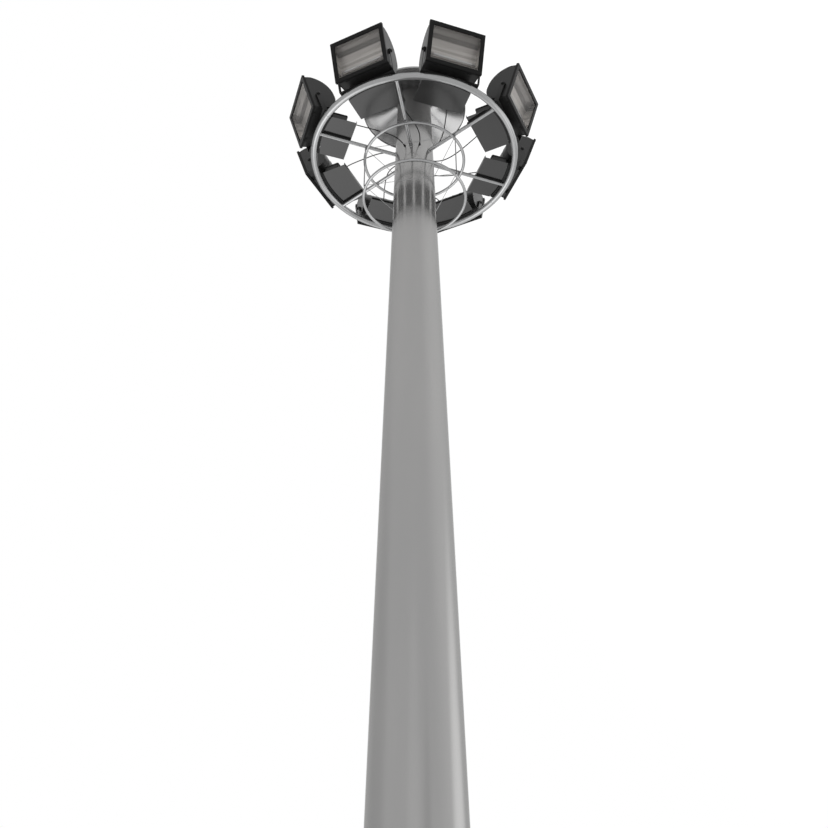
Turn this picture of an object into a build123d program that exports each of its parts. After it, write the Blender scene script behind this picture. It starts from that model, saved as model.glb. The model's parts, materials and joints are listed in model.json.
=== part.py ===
from build123d import *
import os
from math import asin, cos, degrees, hypot, pi, radians, sin, tan

# A tapered steel mast with a fixed head frame: eight floodlights stand in
# yokes on a round tube ring, eight control gear boxes lie inside the ring,
# and a conical rain hood covers the mast head.
# Frame: millimetres, +Z up, origin at the centre of the base flange's
# underside. Azimuth 0 is +X, and the first floodlight faces near -Y.

os.makedirs("parts", exist_ok=True)

# ---- driving dimensions ------------------------------------------------
# Mast shaft and base
MAST_BASE_R = 486.0        # outer radius at the base flange
MAST_TAPER = 0.02495       # loss of radius for each unit of height
MAST_WALL = 6.0
RING_Z = 10300.0           # height of the head ring's centreline
FLANGE_R = 650.0
FLANGE_T = 35.0
FLANGE_LAP = 60.0          # how far the flange runs inside the mast
FLANGE_PCD = 1160.0
FLANGE_HOLES = 16
FLANGE_HOLE_D = 39.0
GUSSET_H = 300.0
GUSSET_T = 16.0
GUSSET_EDGE = 15.0         # from the flange's rim in to a gusset's foot
GUSSET_TOE = 30.0          # upright edge at its foot
GUSSET_HEAD = 15.0         # width left at its top

# Service hatch near the base
HATCH_AZ = 90.0
HATCH_Z = 850.0            # height of its centre
HATCH_W = 240.0
HATCH_H = 600.0
HATCH_CORNER = 30.0
HATCH_FRAME = 40.0         # width of the welded frame round the opening
HATCH_STAND = 14.0         # how far the frame's face stands off the mast
HATCH_COVER_T = 5.0
HATCH_LAP = 28.0           # how far the cover laps onto the frame
HATCH_BOLT_D = 18.0        # bolt head across
HATCH_BOLT_H = 7.0
HATCH_BOLT_END = 60.0      # from the opening's ends in to the outer bolts

# Head ring and its spokes
RING_R = 1200.0
RING_TUBE_D = 76.0
RING_TUBE_WALL = 4.0
SPOKES = 6
SPOKE_AZ = 20.5
SPOKE_D = 42.4
SPOKE_WALL = 3.2

# Cable cage: two thin rings below the spokes, rods and ties
CAGE_R = 592.0
CAGE_TUBE_D = 33.7
CAGE_TUBE_WALL = 2.6
CAGE_DROP = 610.0          # from the upper cage ring down to the lower one
CAGE_ROD_D = 12.0
CAGE_RODS = 3
CAGE_ROD_AZ = 80.5
TIE_D = 6.0
SEAT_GAP = 0.2             # running clearance between round tubes that touch

# Rain hood
HOOD_R = 640.0
HOOD_RISE = 900.0          # from the ring up to the hood's rim
HOOD_H = 280.0             # rim to apex
HOOD_SHEET = 4.0
HOOD_HEM = 25.0

# Floodlights
LAMPS = 8
LAMP_AZ = -115.8
LAMP_TILT = 18.8           # degrees that the glass faces below the horizon
LAMP_OUT = 127.0           # from the tilt axis out to the glass frame's centre
LAMP_UP = 10.0             # from the tilt axis up to the glass frame's centre
FRAME_W = 655.0
FRAME_H = 510.0
FRAME_BAR = 45.0
FRAME_T = 28.0
FRAME_CORNER = 6.0
GLASS_LAP = 11.0           # how far the glass laps behind the frame's bar
GLASS_T = 5.0
GLASS_SET = 8.0            # from the frame's face back to the glass
GLASS_PLAY = 1.0           # clearance round the glass in its rebate
HOUSING_W = 632.0
HOUSING_TOP = 232.0
HOUSING_UNDER = 235.0
HOUSING_DEPTH = 312.0
HOUSING_WALL = 3.0
END_RIM = 4.0              # how far the end plates stand proud of the body
END_T = 4.0
CROWN_FLAT = 100.0         # straight part of the top behind the glass
CROWN_MID = (-255.0, 125.0)    # where the rounded back passes, X and Z
BACK_DROP = 45.0           # the deepest point, below the middle
HEEL_MID = (-295.0, -165.0)
HEEL = (-225.0, -240.0)

# Yokes
YOKE_IN = 10.0             # from the ring's centreline in to the yoke's foot
PIVOT_LEAN = 95.0          # from the yoke's foot out to the tilt axis
YOKE_FLAT = 60.0
YOKE_T = 6.0
YOKE_HALF = 335.0          # from the lamp's middle to the inside of an arm
PIVOT_RISE = 300.0         # from the ring up to the tilt axis
PIVOT_D = 16.0
PIVOT_PLAY = 0.3
PIVOT_BOSS_D = 56.0
PIVOT_NUT_D = 30.0
PIVOT_NUT_T = 10.0

# Control gear boxes
SADDLE_TOP = 24.0          # from the ring's centreline up to the trays
SADDLE_W = 54.0
SADDLE_SET = 10.0          # from a tray's inner edge out to the spoke strip
PACKER_TOP = 45.0          # from the ring's centreline up to the yokes' feet
PACKER_FOOT = 12.0         # from the ring's centreline up to their underside
PACKER_IN = 64.0           # from the ring's centreline in to the strips' edge
PACKER_OUT = 25.0          # from the ring's centreline out to the strips' edge
PACKER_GAP = 2.0           # between a tray and a ring strip
TRAY_LIP = 110.0           # from a gear box in to its tray's inner edge
TRAY_W = 578.0
TRAY_T = 5.0
TRAY_TURN = 30.0           # height of the edge turned up on the inner side
BOX_GAP = 70.0             # from a yoke's foot plate in to the gear box
BOX_L = 180.0
BOX_W = 528.0
BOX_H = 94.0
BOX_CORNER = 12.0
LID_T = 12.0
LID_LAP = 6.0

# Lamp leads, from a gland on each gear box's lid into the mast
LEAD_D = 12.0
GLAND_SET = 90.0           # from the gear box's outer side in to the gland
GLAND_SIDE = 85.0          # gland's distance from the box's middle line
GLAND_LEAN = 45.0          # degrees that the gland leans in to the mast
GLAND_D = 28.0
GLAND_L = 30.0
GROMMET_D = 26.0
GROMMET_L = 24.0
LEAD_START = 31.0          # straight run out of the gland
LEAD_SWING = 42.0          # degrees round the mast from a box to its entry
LEAD_RISES = [20, 45, 45, 20, 20, 45, 45, 20]  # from the ring up to the entries
LEAD_BEND = 0.45           # bend tangent as a share of the shorter run
# Points between the straight start and the grommet, each as distance from the
# mast's axis along the box's middle line, distance to its side, and height
# over the ring. All eight leads follow them.
LEAD_ROUTE = [
    (918, 97, 203), (865, 112, 200), (785, 135, 181), (700, 156, 157), (610, 177, 132),
    (520, 197, 107), (430, 212, 87), (340, 216, 68), (252, 200, 52),
]

# ---- values worked out from them ---------------------------------------
HOOD_Z = RING_Z + HOOD_RISE
TUBE_R = RING_TUBE_D / 2
CAGE_TUBE_R = CAGE_TUBE_D / 2
CAGE_TOP_Z = RING_Z - SPOKE_D / 2 - SEAT_GAP - CAGE_TUBE_R
CAGE_LOW_Z = CAGE_TOP_Z - CAGE_DROP
CAGE_ROD_R = CAGE_R + CAGE_TUBE_R + SEAT_GAP + CAGE_ROD_D / 2
TRAY_Z = RING_Z + SADDLE_TOP
BOX_Z = TRAY_Z + TRAY_T
YOKE_Z = RING_Z + PACKER_TOP
YOKE_R = RING_R - YOKE_IN
PIVOT_R = YOKE_R + PIVOT_LEAN
LAMP_R = PIVOT_R + LAMP_OUT
LAMP_RISE = PIVOT_RISE + LAMP_UP
BOX_OUT_R = YOKE_R - YOKE_FLAT / 2 - BOX_GAP
BOX_IN_R = BOX_OUT_R - BOX_L
TRAY_IN_R = BOX_IN_R - TRAY_LIP
PACKER_IN_R = RING_R - PACKER_IN
PACKER_OUT_R = RING_R + PACKER_OUT
TRAY_OUT_R = PACKER_IN_R - PACKER_GAP
LAMP_STEP = 360 / LAMPS
SPOKE_STEP = 360 / SPOKES


def mast_radius(height):
    """Outer radius of the mast at a height above the flange's underside."""
    return MAST_BASE_R - MAST_TAPER * height


def cone(low_z, high_z, inset=0.0):
    """The mast's solid outline between two heights, inset by a wall."""
    low, high = mast_radius(low_z) - inset, mast_radius(high_z) - inset
    body = Cone(low, high, high_z - low_z, align=(Align.CENTER, Align.CENTER, Align.MIN))
    return Pos(0, 0, low_z) * body


def turned(shape, azimuth):
    """A shape turned about the mast's axis."""
    return Rot(0, 0, azimuth) * shape


def block(x0, x1, width, z0, z1):
    """A box from x0 to x1 and z0 to z1, centred on the XZ plane."""
    return Pos((x0 + x1) / 2, 0, (z0 + z1) / 2) * Box(x1 - x0, width, z1 - z0)


def rod(start, end, diameter):
    """A round bar between two points."""
    line = Line(start, end)
    return sweep(Plane(origin=line @ 0, z_dir=line % 0) * Circle(diameter / 2), path=line)


def disc(diameter, start, direction, length):
    """A round bar from a point, along a direction."""
    return extrude(Plane(origin=start, z_dir=direction) * Circle(diameter / 2), length)


def ring_tube(radius, height, diameter, wall):
    """A closed round ring of tube."""
    outer = Torus(radius, diameter / 2)
    return Pos(0, 0, height) * (outer - Torus(radius, diameter / 2 - wall))


def save(name, *shapes):
    """Write one sub-part, as one solid or as several that do not touch."""
    solids = [solid for shape in shapes for solid in shape.solids()]
    whole = solids[0] if len(solids) == 1 else Compound(children=solids)
    export_step(whole, f"parts/{name}.step")


# Solid outlines that other pieces are cut against
ring_solid = Pos(0, 0, RING_Z) * Torus(RING_R, TUBE_R)
cage_solids = [Pos(0, 0, z) * Torus(CAGE_R, CAGE_TUBE_R) for z in (CAGE_TOP_Z, CAGE_LOW_Z)]


# ---- mast ----------------------------------------------------------------
hood_slope = HOOD_H / HOOD_R
hood_drop = HOOD_SHEET * hypot(1, hood_slope)     # the sheet's thickness, measured upright
head_z = HOOD_Z + HOOD_H                          # the hood's apex

mast_shaft = cone(FLANGE_T, head_z) - cone(FLANGE_T, head_z, MAST_WALL)
under_hood = Cone(HOOD_R * 2, 0, hood_slope * HOOD_R * 2,
                  align=(Align.CENTER, Align.CENTER, Align.MAX))
mast_shaft &= Pos(0, 0, head_z - hood_drop) * under_hood + cone(0, HOOD_Z)


def hatch_prism(margin, reach):
    """An upright rounded prism through the mast's wall at the hatch."""
    outline = RectangleRounded(HATCH_W + 2 * margin, HATCH_H + 2 * margin, HATCH_CORNER + margin)
    face = Plane(origin=(0, 0, HATCH_Z), x_dir=(0, -1, 0), z_dir=(1, 0, 0)) * outline
    return extrude(face, reach)


hatch_face = mast_radius(HATCH_Z) + HATCH_STAND
mast_shaft -= turned(hatch_prism(0, hatch_face), HATCH_AZ)
save("mast_shaft", mast_shaft)

flange = Cylinder(FLANGE_R, FLANGE_T, align=(Align.CENTER, Align.CENTER, Align.MIN))
flange -= Cylinder(MAST_BASE_R - FLANGE_LAP, 3 * FLANGE_T)
flange -= PolarLocations(FLANGE_PCD / 2, FLANGE_HOLES) * Cylinder(FLANGE_HOLE_D / 2, 3 * FLANGE_T)
save("base_flange", flange)

gusset_foot = FLANGE_R - GUSSET_EDGE
gusset_root = mast_radius(FLANGE_T + GUSSET_H) - MAST_WALL
gusset_outline = Polyline(
    (gusset_root, FLANGE_T),
    (gusset_foot, FLANGE_T),
    (gusset_foot, FLANGE_T + GUSSET_TOE),
    (mast_radius(FLANGE_T + GUSSET_H) + GUSSET_HEAD, FLANGE_T + GUSSET_H),
    (gusset_root, FLANGE_T + GUSSET_H),
    close=True,
)
gusset = extrude(Plane.XZ * make_face(gusset_outline), GUSSET_T / 2, both=True)
gusset -= cone(0, GUSSET_H * 2)
gusset_step = 360 / FLANGE_HOLES
save("base_gussets", *[turned(gusset, gusset_step * (i + 0.5)) for i in range(FLANGE_HOLES)])

hatch_frame = hatch_prism(HATCH_FRAME, hatch_face) - hatch_prism(0, hatch_face)
hatch_frame -= cone(0, HATCH_Z * 2)
hatch_frame = hatch_frame.solids().sort_by(Axis.X)[-1]
save("hatch_frame", turned(hatch_frame, HATCH_AZ))

cover = hatch_prism(HATCH_LAP, HATCH_COVER_T)
save("hatch_cover", turned(Pos(hatch_face, 0, 0) * cover, HATCH_AZ))

bolt_y = HATCH_W / 2 + HATCH_LAP / 2
bolt_z = HATCH_H / 2 - HATCH_BOLT_END
hatch_bolts = [
    disc(HATCH_BOLT_D, (hatch_face + HATCH_COVER_T, y, HATCH_Z + z), (1, 0, 0), HATCH_BOLT_H)
    for y in (-bolt_y, bolt_y) for z in (-bolt_z, 0, bolt_z)
]
save("hatch_bolts", *[turned(bolt, HATCH_AZ) for bolt in hatch_bolts])

# ---- head frame ------------------------------------------------------------
save("outer_ring", ring_tube(RING_R, RING_Z, RING_TUBE_D, RING_TUBE_WALL))

head_cone = cone(CAGE_LOW_Z - CAGE_TUBE_D, HOOD_Z)
spoke_bar = rod((0, 0, RING_Z), (RING_R, 0, RING_Z), SPOKE_D)
spoke = spoke_bar - rod((0, 0, RING_Z), (RING_R, 0, RING_Z), SPOKE_D - 2 * SPOKE_WALL)
spoke = (spoke - ring_solid - head_cone).solids().sort_by(Axis.X)[-1]
spoke_azimuths = [SPOKE_AZ + SPOKE_STEP * i for i in range(SPOKES)]
save("spokes", *[turned(spoke, azimuth) for azimuth in spoke_azimuths])

save("cage_ring_upper", ring_tube(CAGE_R, CAGE_TOP_Z, CAGE_TUBE_D, CAGE_TUBE_WALL))
save("cage_ring_lower", ring_tube(CAGE_R, CAGE_LOW_Z, CAGE_TUBE_D, CAGE_TUBE_WALL))

cage_azimuths = [CAGE_ROD_AZ + 360 / CAGE_RODS * i for i in range(CAGE_RODS)]
cage_rod = rod((CAGE_ROD_R, 0, CAGE_LOW_Z - CAGE_TUBE_R), (CAGE_ROD_R, 0, RING_Z), CAGE_ROD_D) - spoke_bar
cage_rod = cage_rod.solids().sort_by(Axis.Z)[0]
save("cage_rods", *[turned(cage_rod, azimuth) for azimuth in cage_azimuths])


def cage_tie(height):
    """A thin level bar from one rod to the next, inside the cage ring."""
    step = radians(360 / CAGE_RODS)
    tie = rod((CAGE_ROD_R, 0, height), (CAGE_ROD_R * cos(step), CAGE_ROD_R * sin(step), height), TIE_D)
    for solid in cage_solids:
        tie -= solid
    return max(tie.solids(), key=lambda solid: solid.volume)


ties = [cage_tie(height) for height in (CAGE_TOP_Z, CAGE_LOW_Z)]
save("cage_ties", *[turned(tie, azimuth) for azimuth in cage_azimuths for tie in ties])

hood_outline = Polyline(
    (0, HOOD_H),
    (HOOD_R, 0),
    (HOOD_R, -HOOD_HEM),
    (HOOD_R - HOOD_SHEET, -HOOD_HEM),
    (HOOD_R - HOOD_SHEET, hood_slope * HOOD_SHEET - hood_drop),
    (0, HOOD_H - hood_drop),
    close=True,
)
hood = revolve(Plane.XZ * make_face(hood_outline), Axis.Z)
save("rain_hood", Pos(0, 0, HOOD_Z) * hood)

# ---- trays, packers and gear boxes -----------------------------------------
lamp_azimuths = [LAMP_AZ + LAMP_STEP * i for i in range(LAMPS)]

sector = degrees(asin(TRAY_W / 2 / RING_R))
packer_outline = Polyline(
    (PACKER_IN_R, PACKER_FOOT),
    (PACKER_OUT_R, PACKER_FOOT),
    (PACKER_OUT_R, PACKER_TOP),
    (PACKER_IN_R, PACKER_TOP),
    close=True,
)
packer = revolve(Plane.XZ * make_face(packer_outline), Axis.Z, revolution_arc=2 * sector)
packer = turned(Pos(0, 0, RING_Z) * packer, -sector) - ring_solid
packer = max(packer.solids(), key=lambda solid: solid.volume)
ring_packers = [turned(packer, azimuth) for azimuth in lamp_azimuths]
for azimuth in spoke_azimuths:                    # notched where a spoke passes
    ring_packers = [strip - turned(spoke_bar, azimuth) for strip in ring_packers]
save("ring_packers", *ring_packers)

saddle = block(TRAY_IN_R + SADDLE_SET, TRAY_OUT_R, SADDLE_W, RING_Z, TRAY_Z) - spoke_bar
save("spoke_packers", *[turned(saddle, azimuth) for azimuth in spoke_azimuths])

tray = block(TRAY_IN_R, TRAY_OUT_R, TRAY_W, TRAY_Z, BOX_Z)
tray += block(TRAY_IN_R, TRAY_IN_R + TRAY_T, TRAY_W, TRAY_Z, BOX_Z + TRAY_TURN)
tray &= Pos(0, 0, TRAY_Z) * Cylinder(TRAY_OUT_R, 4 * TRAY_TURN)
save("gear_trays", *[turned(tray, azimuth) for azimuth in lamp_azimuths])

gear_box = block(BOX_IN_R, BOX_OUT_R, BOX_W, BOX_Z, BOX_Z + BOX_H)
gear_box = fillet(gear_box.edges().filter_by(Axis.Z), BOX_CORNER)
save("gear_boxes", *[turned(gear_box, azimuth) for azimuth in lamp_azimuths])

lid = block(BOX_IN_R - LID_LAP, BOX_OUT_R + LID_LAP, BOX_W + 2 * LID_LAP,
            BOX_Z + BOX_H, BOX_Z + BOX_H + LID_T)
lid = fillet(lid.edges().filter_by(Axis.Z), BOX_CORNER + LID_LAP)
save("gear_box_lids", *[turned(lid, azimuth) for azimuth in lamp_azimuths])

gland_z = BOX_Z + BOX_H + LID_T
gland_r = BOX_OUT_R - GLAND_SET
gland_seat = Vector(gland_r, GLAND_SIDE, gland_z)
gland_axis = Vector(-sin(radians(GLAND_LEAN)), 0, cos(radians(GLAND_LEAN)))
gland = disc(GLAND_D, tuple(gland_seat - gland_axis * GLAND_L), tuple(gland_axis), 2 * GLAND_L)
gland -= block(BOX_IN_R, BOX_OUT_R, BOX_W, BOX_Z, gland_z)
save("gear_box_glands", *[turned(gland, azimuth) for azimuth in lamp_azimuths])

# ---- yokes and floodlights ---------------------------------------------------
pivot_z = RING_Z + PIVOT_RISE
yoke_bore = Pos(PIVOT_R, 0, pivot_z) * Rot(90, 0, 0) * Cylinder(PIVOT_D / 2 + PIVOT_PLAY, 3 * YOKE_HALF)
arm_foot = Line((YOKE_R - YOKE_FLAT / 2, YOKE_Z), (YOKE_R + YOKE_FLAT / 2, YOKE_Z))
arm_head = Pos(PIVOT_R, pivot_z) * Circle(YOKE_FLAT / 2)
arm_face = make_hull(arm_foot.edges() + arm_head.edges())
arm = extrude(Plane.XZ * arm_face, YOKE_T)
yoke = block(YOKE_R - YOKE_FLAT / 2, YOKE_R + YOKE_FLAT / 2, 2 * (YOKE_HALF + YOKE_T), YOKE_Z, YOKE_Z + YOKE_T)
yoke += Pos(0, -YOKE_HALF, 0) * arm + Pos(0, YOKE_HALF + YOKE_T, 0) * arm - yoke_bore
save("yokes", *[turned(yoke, azimuth) for azimuth in lamp_azimuths])

# A floodlight is drawn with X along the way its glass faces, from the
# middle of the glass frame's front face, and is then tilted and placed.
lamp_place = Pos(LAMP_R, 0, RING_Z + LAMP_RISE) * Rot(0, LAMP_TILT, 0)


def lamp_block(x0, x1, width, height):
    """A box in the floodlight's own frame."""
    return Pos((x0 + x1) / 2, 0, 0) * Box(x1 - x0, width, height)


frame_in_w = FRAME_W - 2 * FRAME_BAR
frame_in_h = FRAME_H - 2 * FRAME_BAR
glass_w = frame_in_w + 2 * GLASS_LAP
glass_h = frame_in_h + 2 * GLASS_LAP
front_frame = lamp_block(-FRAME_T, 0, FRAME_W, FRAME_H)
front_frame = fillet(front_frame.edges().filter_by(Axis.X), FRAME_CORNER)
front_frame -= lamp_block(-2 * FRAME_T, FRAME_T, frame_in_w, frame_in_h)
front_frame -= lamp_block(-2 * FRAME_T, -GLASS_SET, glass_w + 2 * GLASS_PLAY, glass_h + 2 * GLASS_PLAY)
glass = lamp_block(-GLASS_SET - GLASS_T, -GLASS_SET, glass_w, glass_h)

crown_start = (-CROWN_FLAT, HOUSING_TOP)
crown_back = (-HOUSING_DEPTH, -BACK_DROP)
body_outline = (
    Line((-FRAME_T, -HOUSING_UNDER), (-FRAME_T, HOUSING_TOP))
    + Line((-FRAME_T, HOUSING_TOP), crown_start)
    + ThreePointArc(crown_start, CROWN_MID, crown_back)
    + ThreePointArc(crown_back, HEEL_MID, HEEL)
    + Line(HEEL, (-FRAME_T, -HOUSING_UNDER))
)
body_face = make_face(body_outline)


def lamp_prism(face, half_width):
    """A lamp profile extruded evenly to both sides."""
    return extrude(Plane.XZ * face, half_width, both=True)


inner_face = offset(body_face, -HOUSING_WALL)
mouth = Pos(-FRAME_T, -(HOUSING_UNDER - HOUSING_TOP) / 2) * Rectangle(
    4 * HOUSING_WALL, HOUSING_TOP + HOUSING_UNDER - 2 * HOUSING_WALL)
rim_face = offset(body_face, END_RIM) - Rectangle(2 * FRAME_T, 3 * FRAME_H)
half = HOUSING_W / 2
housing = lamp_prism(body_face, half)
housing += lamp_prism(rim_face, half) - lamp_prism(rim_face, half - END_T)
housing -= lamp_prism(inner_face + mouth, half - HOUSING_WALL)

tilt = radians(LAMP_TILT)
arm_x, arm_z = PIVOT_R - LAMP_R, PIVOT_RISE - LAMP_RISE
pivot_x = arm_x * cos(tilt) - arm_z * sin(tilt)
pivot_up = arm_x * sin(tilt) + arm_z * cos(tilt)
boss_y = YOKE_HALF - PIVOT_PLAY
nut_y = YOKE_HALF + YOKE_T + PIVOT_PLAY
for side in (-1, 1):
    out = (0, side, 0)
    housing += disc(PIVOT_BOSS_D, (pivot_x, side * (half - HOUSING_WALL), pivot_up), out,
                    boss_y - half + HOUSING_WALL)
    housing += disc(PIVOT_D, (pivot_x, side * half, pivot_up), out, nut_y - half)
    housing += disc(PIVOT_NUT_D, (pivot_x, side * nut_y, pivot_up), out, PIVOT_NUT_T)

for number, azimuth in enumerate(lamp_azimuths, 1):
    save(f"housing_{number}", turned(lamp_place * housing, azimuth))
    save(f"front_frame_{number}", turned(lamp_place * front_frame, azimuth))
    save(f"glass_{number}", turned(lamp_place * glass, azimuth))

# ---- lamp leads ----------------------------------------------------------------
grommets = []
for number, (azimuth, rise) in enumerate(zip(lamp_azimuths, LEAD_RISES), 1):
    points = [gland_seat + gland_axis * GLAND_L]
    points.append(points[0] + gland_axis * LEAD_START)
    points += [Vector(x, y, RING_Z + z) for x, y, z in LEAD_ROUTE]
    entry_r = mast_radius(RING_Z + rise) - MAST_WALL / 2
    entry = Vector(entry_r * cos(radians(LEAD_SWING)), entry_r * sin(radians(LEAD_SWING)), RING_Z + rise)
    inward = (entry - points[-1]).normalized()
    grommet_mouth = entry - inward * GROMMET_L
    grommet = disc(GROMMET_D, tuple(grommet_mouth), tuple(inward), GROMMET_L + MAST_WALL) - head_cone
    grommets.append(turned(grommet.solids().sort_by(Axis.X)[-1], azimuth))
    points.append(grommet_mouth)
    runs = [(b - a).length for a, b in zip(points, points[1:])]
    turns = [(b - a).get_angle(c - b) for a, b, c in zip(points, points[1:], points[2:])]
    radii = [LEAD_BEND * min(one, two) / tan(radians(turn) / 2)
             for one, two, turn in zip(runs, runs[1:], turns)]
    path = FilletPolyline(*points, radius=radii)
    lead = sweep(Plane(origin=path @ 0, z_dir=path % 0) * Circle(LEAD_D / 2), path=path)
    share = lead.volume / (path.length * pi * LEAD_D ** 2 / 4)
    print(f"lead_{number}: length {path.length:.0f} mm, smallest radius {min(radii):.0f} mm,",
          f"volume ratio {share:.4f}")
    save(f"lead_{number}", turned(lead, azimuth))
save("lead_grommets", *grommets)
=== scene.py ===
import json
from math import atan2, cos, hypot, pi, radians, sin, sqrt

import bmesh
import bpy
from mathutils import Matrix, Vector


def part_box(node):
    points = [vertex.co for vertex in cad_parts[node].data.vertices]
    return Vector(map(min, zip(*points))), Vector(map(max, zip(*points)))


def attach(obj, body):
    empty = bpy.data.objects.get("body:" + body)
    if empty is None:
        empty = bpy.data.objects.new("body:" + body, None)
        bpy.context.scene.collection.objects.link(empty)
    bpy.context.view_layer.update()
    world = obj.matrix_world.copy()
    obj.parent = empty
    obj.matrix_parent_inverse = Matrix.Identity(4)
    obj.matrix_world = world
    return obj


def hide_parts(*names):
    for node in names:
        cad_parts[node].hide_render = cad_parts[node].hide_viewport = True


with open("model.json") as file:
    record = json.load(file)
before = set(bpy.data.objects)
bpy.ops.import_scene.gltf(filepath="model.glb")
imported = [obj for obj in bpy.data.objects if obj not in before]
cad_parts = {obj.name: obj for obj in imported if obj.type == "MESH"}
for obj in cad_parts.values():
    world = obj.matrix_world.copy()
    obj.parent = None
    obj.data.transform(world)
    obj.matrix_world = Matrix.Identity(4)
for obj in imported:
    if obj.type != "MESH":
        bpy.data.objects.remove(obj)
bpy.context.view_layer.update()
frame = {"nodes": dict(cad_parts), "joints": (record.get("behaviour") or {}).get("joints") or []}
scene = bpy.context.scene

# ---- viewer, floor and light -------------------------------------------------
# The viewer stands 8 m in front of the mast, eye at 1.6 m, and looks up at its head.
# The sky is an even white, with a soft lamp at the right and dim panels at the left
# and behind the viewer. Round soft lamps in the pale floor throw light up.
EYE = (0.0, -7.968, 1.588)
SENSOR_W = 36.0
FOCAL_LENGTH = 41.35
LENS_SHIFT = 0.0124
LOOK_UP = radians(32.6)
LOOK_LEFT = radians(0.83)
HEAD_TILT = radians(0.22)
FLOOR_SIZE = 120.0
FLOOR_GREY = 0.62
FLOOR_GLOW = 0.36
FLOOR_PATCHES = [
    # x, y, distance it is full within, distance it ends at, strength
    (-7.2, 4.2, 2.0, 8.0, 1.75),
    (-9.2, 8.4, 0.5, 2.6, 1.00),
    (8.4, 5.8, 1.0, 3.6, 1.30),
    (13.5, 2.0, 1.0, 5.5, 1.30),
    (-2.5, 8.8, 2.0, 5.0, 0.60),
    (0.0, 17.0, 8.0, 18.0, 0.25),
    (-15.0, 28.0, 5.0, 15.0, 0.35),
    (12.0, 28.0, 4.0, 12.0, 1.20),
    (38.0, 2.0, 8.0, 20.0, 1.20),
]
SKY_PATCHES = [
    # azimuth, elevation, angle it is full within, angle it ends at, strength
    (16, 5, 6, 26, 0.75),
    (15, 40, 10, 60, 0.20),
    (166, 4, 6, 36, -0.20),
    (-67, 8, 2, 12, -0.22),
    (-97, 10, 4, 18, 0.12),
]

lens = bpy.data.cameras.new("lens")
lens.sensor_width = SENSOR_W
lens.lens = FOCAL_LENGTH
lens.shift_x = LENS_SHIFT
viewer = bpy.data.objects.new("viewer", lens)
viewer.matrix_world = (Matrix.Translation(EYE) @ Matrix.Rotation(LOOK_LEFT, 4, "Z")
                       @ Matrix.Rotation(pi / 2 + LOOK_UP, 4, "X")
                       @ Matrix.Rotation(HEAD_TILT, 4, "Z"))
scene.collection.objects.link(viewer)
scene.camera = viewer


class Signal:
    """One shader socket. Python's operators on it add Math nodes beside it."""
    # A Mix node's sockets: 0 is its factor, 4 and 5 are vectors, 6 and 7 are colours.

    def __init__(self, tree, socket=None):
        self.tree = tree
        self.socket = socket

    def add(self, kind, settings=None, inputs=None, output=0):
        """Add a node: its type, its settings, the values or links of its sockets."""
        node = self.tree.nodes.new(kind)
        for key, value in (settings or {}).items():
            if key == "stops":
                for spare in list(node.color_ramp.elements)[1:]:
                    node.color_ramp.elements.remove(spare)
                node.color_ramp.elements[0].position = value[0][0]
                node.color_ramp.elements[0].color = value[0][1]
                for position, colour in value[1:]:
                    node.color_ramp.elements.new(position).color = colour
            else:
                setattr(node, key, value)
        for key, value in (inputs or {}).items():
            if isinstance(value, Signal):
                self.tree.links.new(value.socket, node.inputs[key])
            else:
                node.inputs[key].default_value = value
        return Signal(self.tree, node.outputs[output] if node.outputs else None)

    def math(self, operation, first, second):
        """Math on sockets or values."""
        return self.add("ShaderNodeMath", {"operation": operation}, {0: first, 1: second})

    def __add__(self, other):
        return self.math("ADD", self, other)

    __radd__ = __add__

    def __sub__(self, other):
        return self.math("SUBTRACT", self, other)

    def __rsub__(self, other):
        return self.math("SUBTRACT", other, self)

    def __mul__(self, other):
        return self.math("MULTIPLY", self, other)

    __rmul__ = __mul__

    def rise(self, low, high):
        """0 below low, 1 above high, and a smooth step between them."""
        return self.add("ShaderNodeMapRange", {"interpolation_type": "SMOOTHSTEP"},
                        {"Value": self, "From Min": low, "From Max": high})

    def between(self, low, high):
        """This mask as a mix of two colours."""
        return self.add("ShaderNodeMix", {"data_type": "RGBA"}, {0: self, 6: low, 7: high}, 2)

    def noise(self, scale, detail=4.0, roughness=0.55, stretch=(1.0, 1.0, 1.0)):
        """Cloudy noise over a piece, from 0 to 1, stretched along its axes."""
        place = self.add("ShaderNodeTexCoord", output="Object")
        place = self.add("ShaderNodeMapping", {}, {"Vector": place, "Scale": stretch})
        return self.add("ShaderNodeTexNoise", {}, {"Vector": place, "Scale": scale, "Detail": detail,
                                                   "Roughness": roughness})

    def vector(self, operation, first, second=(0.0, 0.0, 0.0), output=0):
        """Vector Math on sockets or values."""
        return self.add("ShaderNodeVectorMath", {"operation": operation}, {0: first, 1: second}, output)

    def bump(self, height, strength, distance, normal=None):
        """Relief of a height signal, for a shader's Normal."""
        inputs = {"Height": height, "Strength": strength, "Distance": distance}
        if normal:
            inputs["Normal"] = normal
        return self.add("ShaderNodeBump", {}, inputs)

    def finish(self, **sockets):
        """Feed the Principled shader, and connect it to the material's output."""
        inputs = {key.replace("_", " "): value for key, value in sockets.items()}
        shader = self.add("ShaderNodeBsdfPrincipled", {}, inputs)
        self.add("ShaderNodeOutputMaterial", {}, {"Surface": shader})


def new_finish(name):
    """An empty material, and the Signal that its nodes are added through."""
    material = bpy.data.materials.new(name)
    material.use_nodes = True
    material.node_tree.nodes.clear()
    return material, Signal(material.node_tree)


def grey(level, warmth=0.0):
    """An opaque colour near grey, slightly warm or cold."""
    return (level * (1 + warmth), level, level * (1 - warmth), 1.0)


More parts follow.
